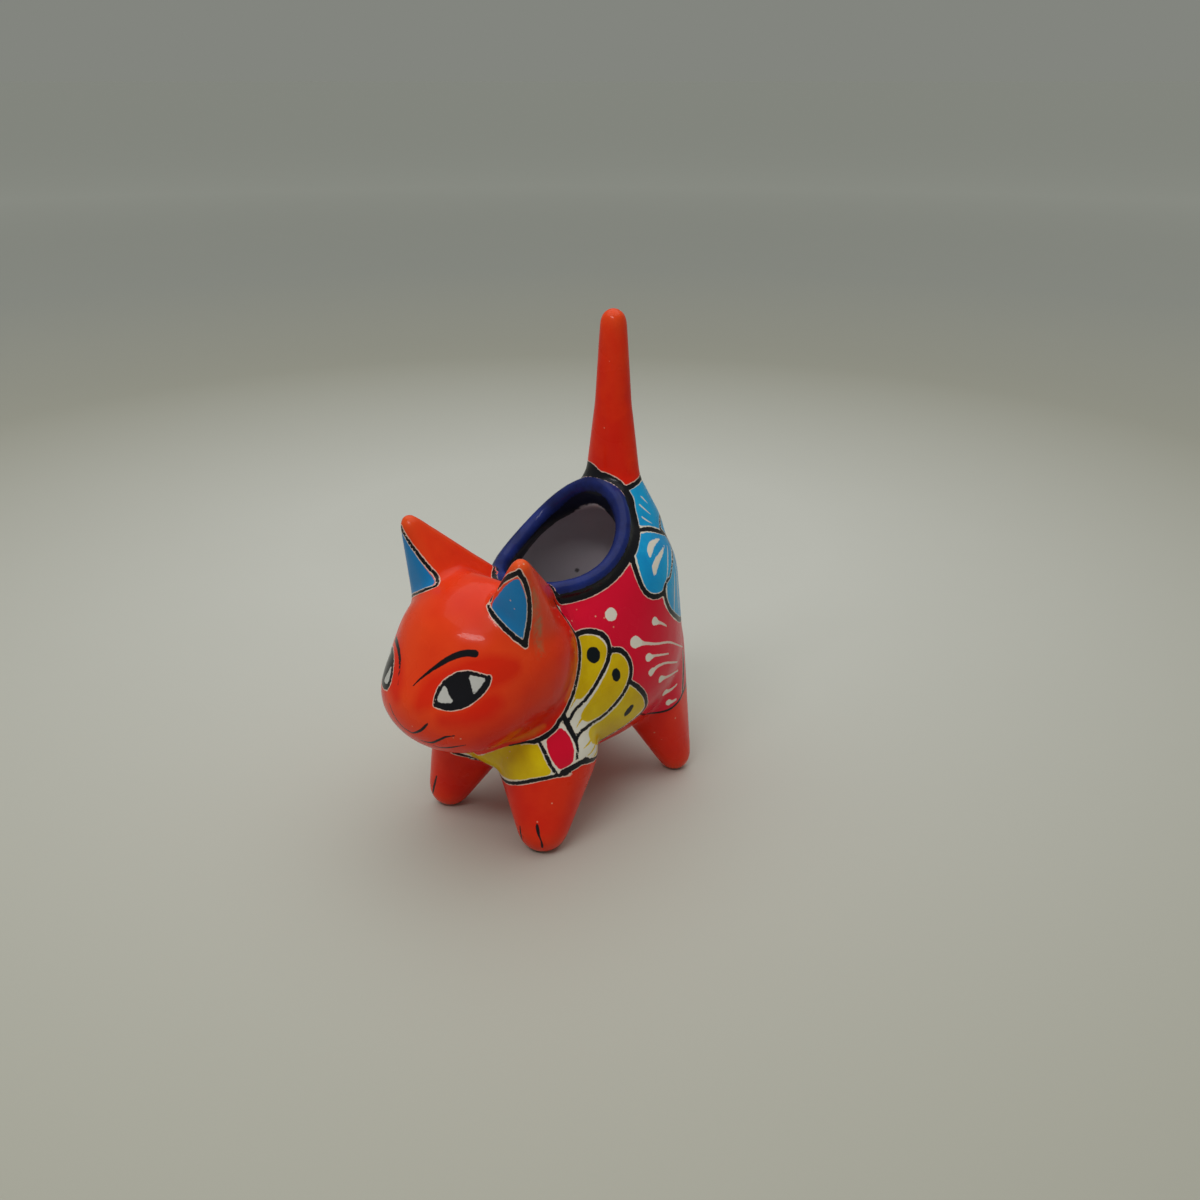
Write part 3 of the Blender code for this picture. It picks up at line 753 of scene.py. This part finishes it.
def paint_ears(art):
    art.fill("ear_blue", [
        (-4.2, 99.9), (-2.7, 96), (-1.9, 91.7), (-2.1, 86), (-3.2, 79.8), (-6.3, 81.4), (-9.6, 84),
        (-12, 86.5), (-12.7, 88.7), (-10, 93.5), (-7, 97.9),
    ], THREE_QUARTER, sides=(1,), turned_away=0.0)
    for line in (
        [(-3.8, 102.4, 0.7), (-2, 98.1, 0.75), (-1.1, 92.6, 0.75), (-1.3, 85.8, 0.8),
         (-2.2, 80.5, 0.8), (-2.6, 76.9, 0.6)],
        [(-2.6, 77.2, 0.8), (-6.3, 80.4, 0.8), (-10, 83.4, 0.75), (-12.7, 86.1, 0.7),
         (-14, 87.9, 0.6)],
        [(-13.2, 89.5, 0.7), (-10.8, 94.2, 0.85), (-8.1, 98.8, 0.85), (-3.8, 102.4, 0.7)],
    ):
        art.stroke("liner", line, THREE_QUARTER, sides=(1,))
    art.fill("ear_blue", [
        (24.8, 102.6), (22.8, 100.5), (19.2, 96.6), (15.4, 92.6), (12.6, 89.6), (11.6, 88.4), (15, 86.3),
        (21, 83.2), (25, 80.5), (27.5, 84), (27.5, 92), (26.4, 98),
    ], HEAD_ON, sides=(-1,), turned_away=0.15)
    for line in (
        [(25.2, 104.4, 0.6), (22.0, 100.6, 0.65), (18.2, 96.8, 0.65), (14.6, 93.0, 0.6),
         (11.6, 89.8, 0.65), (10.2, 88.4, 0.65)],
        [(10.2, 88.3, 0.65), (12.3, 87.2, 0.6), (15.7, 85.4, 0.55), (21, 82.4, 0.5), (25.4, 79.6, 0.5)],
        [(25.4, 79.6, 0.6), (28.0, 84, 0.7), (28.2, 92, 0.7), (27, 99, 0.7),
         (25.2, 104.4, 0.5)],
    ):
        art.stroke("liner", line, HEAD_ON, sides=(-1,))


def paint_toes(art):
    for line in (
        [(-6.2, 10.4, 0.25), (-6.0, 7.6, 0.5), (-5.6, 4.8, 0.3)],
        [(-0.4, 12.6, 0.55), (-0.2, 11, 0.6), (0.1, 9.4, 0.4), (0.9, 6.8, 0.28), (1.1, 4.6, 0.45)],
        [(-36.4, 13.4, 0.3), (-37.5, 9.3, 0.5), (-38.4, 5.4, 0.35)],
    ):
        art.hairline("fine", line, THREE_QUARTER, sides=(1,))


def paint_uneven_red(art):
    """Painted shade: a darker red round the eyes; the red ran thinner on the ear, to ochre, and by the
    neck, to amber.
    """
    # painted shade round and under the eyes
    art.stroke("eye_shade", [
        (-35, 60, 2.0), (-30, 65, 4.5), (-22, 69, 5.2), (-13, 71, 5.2), (-7, 71.5, 3.4),
    ], THREE_QUARTER)
    art.stroke("eye_shade", [(-27, 57.5, 2.5), (-20, 58.5, 3.0), (-12, 62, 3.0)], THREE_QUARTER)
    art.stroke("worn", [
        (-35, 98.2, 0.6), (-32, 92, 1.6), (-31, 85.9, 2.0), (-30, 80.1, 1.8), (-30, 73.1, 1.2),
    ])
    art.stroke("amber", [(-10.4, 73, 0.8), (-10.8, 66, 1.4), (-13.8, 58, 1.3), (-17, 52.5, 0.8)])
    by_the_panel = [(2, 45.8, 0.6), (-3, 43.4, 1.2), (-8, 41.8, 1.2), (-13, 40, 0.7)]
    art.stroke("amber", by_the_panel, THREE_QUARTER)


def paint_lip(art, lip_gap):
    """Cobalt over the rolled rim, black round it and in the seat under it, and inside a dark band that is
    partly navy glaze and partly painted shade.
    """
    gap, which = lip_gap
    outward = art.co - LIP[which]
    outward /= np.maximum(np.linalg.norm(outward, axis=1), TINY)[:, None]
    square_on = (outward * art.no).sum(1)
    height = outward[:, 2] * math.cos(LIP_SLOPE) - outward[:, 1] * math.sin(LIP_SLOPE)
    sunk = np.where(art.outer, -FAR, (COBALT_FOOT - height) * LIP_BEAD)
    turned = (COBALT_SQUARE - square_on) * SQUARE_TO_MM
    art.layers["cobalt"] = np.maximum(np.maximum(gap - LIP_BEAD, turned), sunk)
    below = (height - SEAT_TOP) * LIP_BEAD
    beside = np.where(art.co[:, 1] > LIP_CENTRE_Y, (square_on - SEAT_SQUARE) * SQUARE_TO_MM, FAR)
    seat = np.maximum(gap - SEAT_REACH, np.minimum(below, beside))
    collar = np.maximum(gap - LIP_BEAD - COLLAR, -art.layers["cobalt"])
    liner = art.layer("liner")
    liner[:] = np.maximum(liner, -art.layers["cobalt"])
    liner[art.outer] = np.minimum(liner, np.minimum(seat, collar))[art.outer]
    # dark band inside: navy glaze and painted shade
    art.layers["inner_navy_and_shade"] = np.where(art.outer, FAR, gap - INNER_NAVY_AND_SHADE_REACH)
    art.layers["inside"] = np.where(art.outer, 1.0, -1.0)
    art.layers["speck"] = np.linalg.norm(art.co - SPECK_PLACE, axis=1) - SPECK_RADIUS


# Materials
def maths(tree, operation, first, second=None):
    made = tree.nodes.new("ShaderNodeMath")
    made.operation = operation
    for socket, value in zip(made.inputs, (first, second)):
        if value is None:
            continue
        if isinstance(value, (int, float)):
            socket.default_value = value
        else:
            tree.links.new(value, socket)
    return made.outputs[0]


def mixed(tree, share, first, second):
    made = tree.nodes.new("ShaderNodeMix")
    made.data_type = "RGBA"
    for socket, value in ((made.inputs[0], share), (made.inputs[6], first), (made.inputs[7], second)):
        if isinstance(value, (int, float, tuple)):
            socket.default_value = value
        else:
            tree.links.new(value, socket)
    return made.outputs[2]


def noise(tree, place, scale, detail=2.0, roughness=0.5):
    made = tree.nodes.new("ShaderNodeTexNoise")
    made.inputs["Scale"].default_value = scale
    made.inputs["Detail"].default_value = detail
    made.inputs["Roughness"].default_value = roughness
    tree.links.new(place, made.inputs["Vector"])
    return made.outputs["Fac"]


def span(tree, value, low, high, to_low=0.0, to_high=1.0):
    made = tree.nodes.new("ShaderNodeMapRange")
    made.inputs["From Min"].default_value = low
    made.inputs["From Max"].default_value = high
    made.inputs["To Min"].default_value = to_low
    made.inputs["To Max"].default_value = to_high
    tree.links.new(value, made.inputs["Value"])
    return made.outputs["Result"]


def share_of(tree, value, amount):
    return maths(tree, "MULTIPLY", value, amount)


def axis(tree, place, name):
    made = tree.nodes.new("ShaderNodeSeparateXYZ")
    tree.links.new(place, made.inputs[0])
    return made.outputs[name]


class Brushwork:
    """Masks of the painted layers, with the brush's small unevenness along their edges."""

    def __init__(self, tree, place):
        self.tree = tree
        fine = maths(tree, "SUBTRACT", noise(tree, place, 850.0, detail=3.0), 0.5)
        broad = maths(tree, "SUBTRACT", noise(tree, place, 230.0, detail=4.0, roughness=0.6), 0.5)
        self.wobble = share_of(tree, fine, 0.65)
        self.tremble = share_of(tree, fine, 0.3)
        self.drift = share_of(tree, broad, 2.2)

    def layer(self, name):
        made = self.tree.nodes.new("ShaderNodeAttribute")
        made.attribute_name = name
        return made.outputs["Fac"]

    def mask(self, name, grow=0.0, soft=0.1, wave=None):
        edge = maths(self.tree, "ADD", self.layer(name), wave or self.wobble)
        return span(self.tree, edge, grow + soft, grow - soft)

    def hairline(self, name):
        offset = maths(self.tree, "ABSOLUTE", self.layer(name + "_offset"))
        edge = maths(self.tree, "SUBTRACT", offset, self.layer(name + "_width"))
        return span(self.tree, maths(self.tree, "ADD", edge, self.tremble), 0.08, -0.08)


def red_glaze(tree, brush, place, streaks, cloud):
    """Red that drifts and streaks, with a painted sheen over the head, painted highlights on its ridges,
    painted shade round the eyes, and worn in places.
    """
    red = mixed(tree, span(tree, cloud, 0.35, 0.65), DEEP_RED, RED)
    red = mixed(tree, span(tree, streaks, 0.45, 0.8), red, STREAKED_RED)
    forward = span(tree, axis(tree, place, "Y"), *HEAD_FORWARD)
    above_neck = span(tree, axis(tree, place, "Z"), *HEAD_UP)
    head = maths(tree, "MULTIPLY", forward, above_neck)
    # painted sheen over the head
    head_sheen = maths(tree, "MULTIPLY", head, span(tree, cloud, 0.3, 0.6, to_low=0.25, to_high=0.7))
    red = mixed(tree, head_sheen, red, HEAD_SHEEN_RED)
    # painted shade: darker red round the eyes
    eye_shade = brush.mask("eye_shade", soft=1.6, wave=brush.drift)
    red = mixed(tree, share_of(tree, eye_shade, 0.7), red, EYE_SHADE_RED)
    # painted highlight: lighter red where the skin stands out from the softened form
    ridge = span(tree, brush.layer("ridge"), 0.15, 1.1)
    red = mixed(tree, share_of(tree, ridge, 0.7), red, RIDGE_HIGHLIGHT_RED)
    amber = brush.mask("amber", soft=0.9, wave=brush.drift)
    red = mixed(tree, share_of(tree, amber, 0.75), red, AMBER)
    worn = brush.mask("worn", soft=0.8, wave=brush.drift)
    patches = span(tree, noise(tree, place, 190.0, detail=4.0, roughness=0.7), 0.42, 0.62)
    patchy = maths(tree, "MULTIPLY", worn, patches)
    return mixed(tree, share_of(tree, patchy, 0.75), red, OCHRE)


def coloured_glazes(tree, brush, colour, streaky, cloud):
    """White slip, crimson, yellow and blue over the red, pale beside the black lines, and the white."""
    colour = mixed(tree, brush.mask("ground"), colour, SLIP)
    colour = mixed(tree, brush.mask("crimson", grow=0.1), colour, mixed(tree, cloud, *CRIMSON))
    yellow = mixed(tree, streaky, *YELLOW)
    feathered = share_of(tree, brush.drift, 0.45)
    colour = mixed(tree, brush.mask("yellow", soft=0.15, wave=feathered), colour, yellow)
    colour = mixed(tree, brush.hairline("yellow"), colour, yellow)
    colour = mixed(tree, brush.mask("blue", grow=0.1), colour, mixed(tree, streaky, *BLUE))
    colour = mixed(tree, brush.mask("ear_blue", grow=0.1), colour, mixed(tree, cloud, *EAR_BLUE))
    broken = maths(tree, "ADD", share_of(tree, brush.drift, 0.3), brush.tremble)
    halo = brush.mask("liner", grow=0.26, wave=broken)
    colour = mixed(tree, share_of(tree, halo, 0.8), colour, HALO)
    colour = mixed(tree, brush.mask("white"), colour, WHITE)
    return mixed(tree, share_of(tree, brush.hairline("white"), 0.85), colour, WHITE)


def inner_wall(tree, brush, cloud):
    """Bare clay, with the dark band under the lip, partly navy glaze and partly painted shade, and the
    fired speck.
    """
    clay = mixed(tree, cloud, *INNER_CLAY)
    clay = mixed(tree, brush.mask("inner_navy_and_shade", soft=0.3, wave=brush.drift), clay, INNER_NAVY_AND_SHADE)
    return mixed(tree, share_of(tree, brush.mask("speck", soft=0.3), 0.8), clay, SPECK)


def linework(tree, brush, colour, streaks, streaky):
    """The cobalt lip, then all that is drawn last: black lines, spots and eyes."""
    colour = mixed(tree, brush.mask("cobalt", soft=0.12), colour, mixed(tree, streaky, *COBALT))
    black = mixed(tree, streaks, *BLACK)
    colour = mixed(tree, brush.mask("liner", soft=0.08), colour, black)
    colour = mixed(tree, brush.mask("brow", wave=brush.tremble), colour, black)
    colour = mixed(tree, brush.hairline("fine"), colour, black)
    colour = mixed(tree, brush.mask("spot"), colour, SPOT)
    colour = mixed(tree, brush.mask("pupil"), colour, black)
    return mixed(tree, brush.mask("eye_white"), colour, EYE_WHITE)


def bare_soles(tree, place, streaks):
    """Where the glaze was wiped off, up to a ragged edge just over the floor."""
    ragged = span(tree, streaks, 0.3, 0.7, to_low=-SOLE_RAGGED, to_high=SOLE_RAGGED)
    height = maths(tree, "ADD", axis(tree, place, "Z"), ragged)
    return span(tree, height, BARE_SOLE, BARE_SOLE / 2)


def pinholes(tree, place):
    """Tiny pale pits, scattered thinly."""
    cells = tree.nodes.new("ShaderNodeTexVoronoi")
    cells.inputs["Scale"].default_value = 230.0
    tree.links.new(place, cells.inputs["Vector"])
    chosen = maths(tree, "GREATER_THAN", noise(tree, place, 34.0, detail=3.0, roughness=0.7), 0.54)
    return maths(tree, "MULTIPLY", span(tree, cells.outputs["Distance"], 0.085, 0.045), chosen)


def paint_material():
    material = bpy.data.materials.new("PaintedGlaze")
    material.use_nodes = True
    tree = material.node_tree
    shader = tree.nodes["Principled BSDF"]
    place = tree.nodes.new("ShaderNodeTexCoord").outputs["Object"]
    brush = Brushwork(tree, place)
    streaks = noise(tree, place, 60.0, detail=5.0, roughness=0.6)
    streaky = span(tree, streaks, 0.35, 0.7)
    cloud = noise(tree, place, 28.0, detail=3.0)
    pits = pinholes(tree, place)
    within = maths(tree, "LESS_THAN", brush.layer("inside"), 0.0)
    bare = bare_soles(tree, place, streaks)

    colour = red_glaze(tree, brush, place, streaks, cloud)
    colour = coloured_glazes(tree, brush, colour, streaky, cloud)
    colour = mixed(tree, share_of(tree, pits, 0.7), colour, PIT)
    colour = mixed(tree, within, colour, inner_wall(tree, brush, cloud))
    colour = linework(tree, brush, colour, streaks, streaky)
    colour = mixed(tree, bare, colour, SOLE_CLAY)
    tree.links.new(colour, shader.inputs["Base Color"])

    rough = span(tree, noise(tree, place, 45.0, detail=4.0), 0.3, 0.7, to_low=0.20, to_high=0.34)
    rough = maths(tree, "ADD", rough, share_of(tree, within, 0.25))
    rough = maths(tree, "ADD", rough, share_of(tree, bare, 0.4))
    tree.links.new(rough, shader.inputs["Roughness"])
    shader.inputs["Specular IOR Level"].default_value = 0.10
    shader.inputs["Coat Weight"].default_value = 0.17
    shader.inputs["Coat Roughness"].default_value = 0.05
    bump = tree.nodes.new("ShaderNodeBump")
    bump.inputs["Strength"].default_value = 0.3
    bump.inputs["Distance"].default_value = 0.0004
    relief = maths(tree, "ADD", noise(tree, place, 130.0), share_of(tree, streaks, 0.3))
    relief = maths(tree, "SUBTRACT", relief, share_of(tree, pits, 0.5))
    tree.links.new(relief, bump.inputs["Height"])
    tree.links.new(bump.outputs["Normal"], shader.inputs["Normal"])
    return material


def floor_material():
    """A pale sheet with a painted pool of light just behind the cat, dimmer farther off, and a painted
    glow far off.
    """
    material = bpy.data.materials.new("PaleFloor")
    material.use_nodes = True
    tree = material.node_tree
    shader = tree.nodes["Principled BSDF"]
    place = tree.nodes.new("ShaderNodeTexCoord").outputs["Object"]
    away = tree.nodes.new("ShaderNodeVectorMath")
    away.operation = "DISTANCE"
    away.inputs[1].default_value = LIGHT_POOL_PLACE
    tree.links.new(place, away.inputs[0])
    distance = away.outputs["Value"]
    # painted pool of light, lightest just behind the cat
    sheet = mixed(tree, span(tree, distance, *TO_MIDDLE), SHEET_NEAR, SHEET_MIDDLE)
    sheet = mixed(tree, span(tree, distance, *TO_FAR), sheet, SHEET_FAR)
    cloudy = noise(tree, place, 6.0, detail=6.0, roughness=0.7)
    sheet = mixed(tree, 0.15, sheet, mixed(tree, cloudy, sheet, SHEET_MOTTLE))
    tree.links.new(sheet, shader.inputs["Base Color"])
    # painted glow: far off, the sheet gives out the room's colour
    painted_glow = mixed(tree, span(tree, distance, *TO_PAINTED_GLOW), (0, 0, 0, 1), ROOM_COLOUR)
    tree.links.new(painted_glow, shader.inputs["Emission Color"])
    shader.inputs["Emission Strength"].default_value = PAINTED_GLOW
    shader.inputs["Roughness"].default_value = 0.55
    return material


# Room and light
def room():
    bpy.ops.mesh.primitive_plane_add(size=ROOM_WIDTH, location=(0, 0, 0))
    floor = bpy.context.object
    floor.name = "Floor"
    floor.data.materials.append(floor_material())


def softbox(name, place, width, depth, energy):
    """A soft oval light that looks at the cat."""
    data = bpy.data.lights.new(name, "AREA")
    data.shape = "ELLIPSE"
    data.size = width
    data.size_y = depth
    data.energy = energy
    lamp = bpy.data.objects.new(name, data)
    lamp.location = place
    bpy.context.scene.collection.objects.link(lamp)
    lamp.rotation_mode = "QUATERNION"
    lamp.rotation_quaternion = (Vector(LIGHTS_AIM) - lamp.location).to_track_quat("-Z", "Y")


def lights():
    softbox("Ceiling", CEILING_PLACE, CEILING_WIDTH, CEILING_WIDTH, CEILING_POWER)
    softbox("Front", FRONT_PLACE, FRONT_WIDTH, FRONT_DEPTH, FRONT_POWER)
    world = bpy.data.worlds.new("Daylight")
    world.use_nodes = True
    world.node_tree.nodes["Background"].inputs["Color"].default_value = ROOM_COLOUR
    world.node_tree.nodes["Background"].inputs["Strength"].default_value = 1.0
    bpy.context.scene.world = world
    bpy.context.scene.view_settings.view_transform = "Standard"


def viewer():
    data = bpy.data.cameras.new("Viewer")
    data.lens = CAMERA_LENS
    data.sensor_width = CAMERA_SENSOR
    data.clip_start = CAMERA_NEAR
    data.clip_end = CAMERA_FAR
    camera = bpy.data.objects.new("Viewer", data)
    bpy.context.scene.collection.objects.link(camera)
    back = Vector((
        math.sin(CAMERA_AZIMUTH) * math.cos(CAMERA_ELEVATION),
        -math.cos(CAMERA_AZIMUTH) * math.cos(CAMERA_ELEVATION),
        math.sin(CAMERA_ELEVATION),
    ))
    camera.location = CAMERA_PLACE
    camera.rotation_mode = "QUATERNION"
    camera.rotation_quaternion = (-back).to_track_quat("-Z", "Y")
    bpy.context.scene.camera = camera


LIP = lip_ring()
bpy.ops.object.select_all(action="DESELECT")
cat = glazed_skin(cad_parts["cat_planter"])
art = Decoration(cat)
lip_gap = nearest(art.co, LIP)
art.outer = outer_side(cat.data, art.co, lip_gap)
art.layers["ridge"] = ridges(cat, art.co, art.no)
paint_ground(art)
paint_flank(art)
paint_chest(art)
paint_chest_hairlines(art)
paint_face(art)
paint_ears(art)
paint_toes(art)
paint_uneven_red(art)
paint_lip(art, lip_gap)
art.store()
cat.data.materials.append(paint_material())
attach(cat, "root")
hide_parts("cat_planter")
room()
lights()
viewer()

print("triangles", sum(len(p.vertices) - 2 for p in cat.data.polygons), "outer", int(art.outer.sum()))
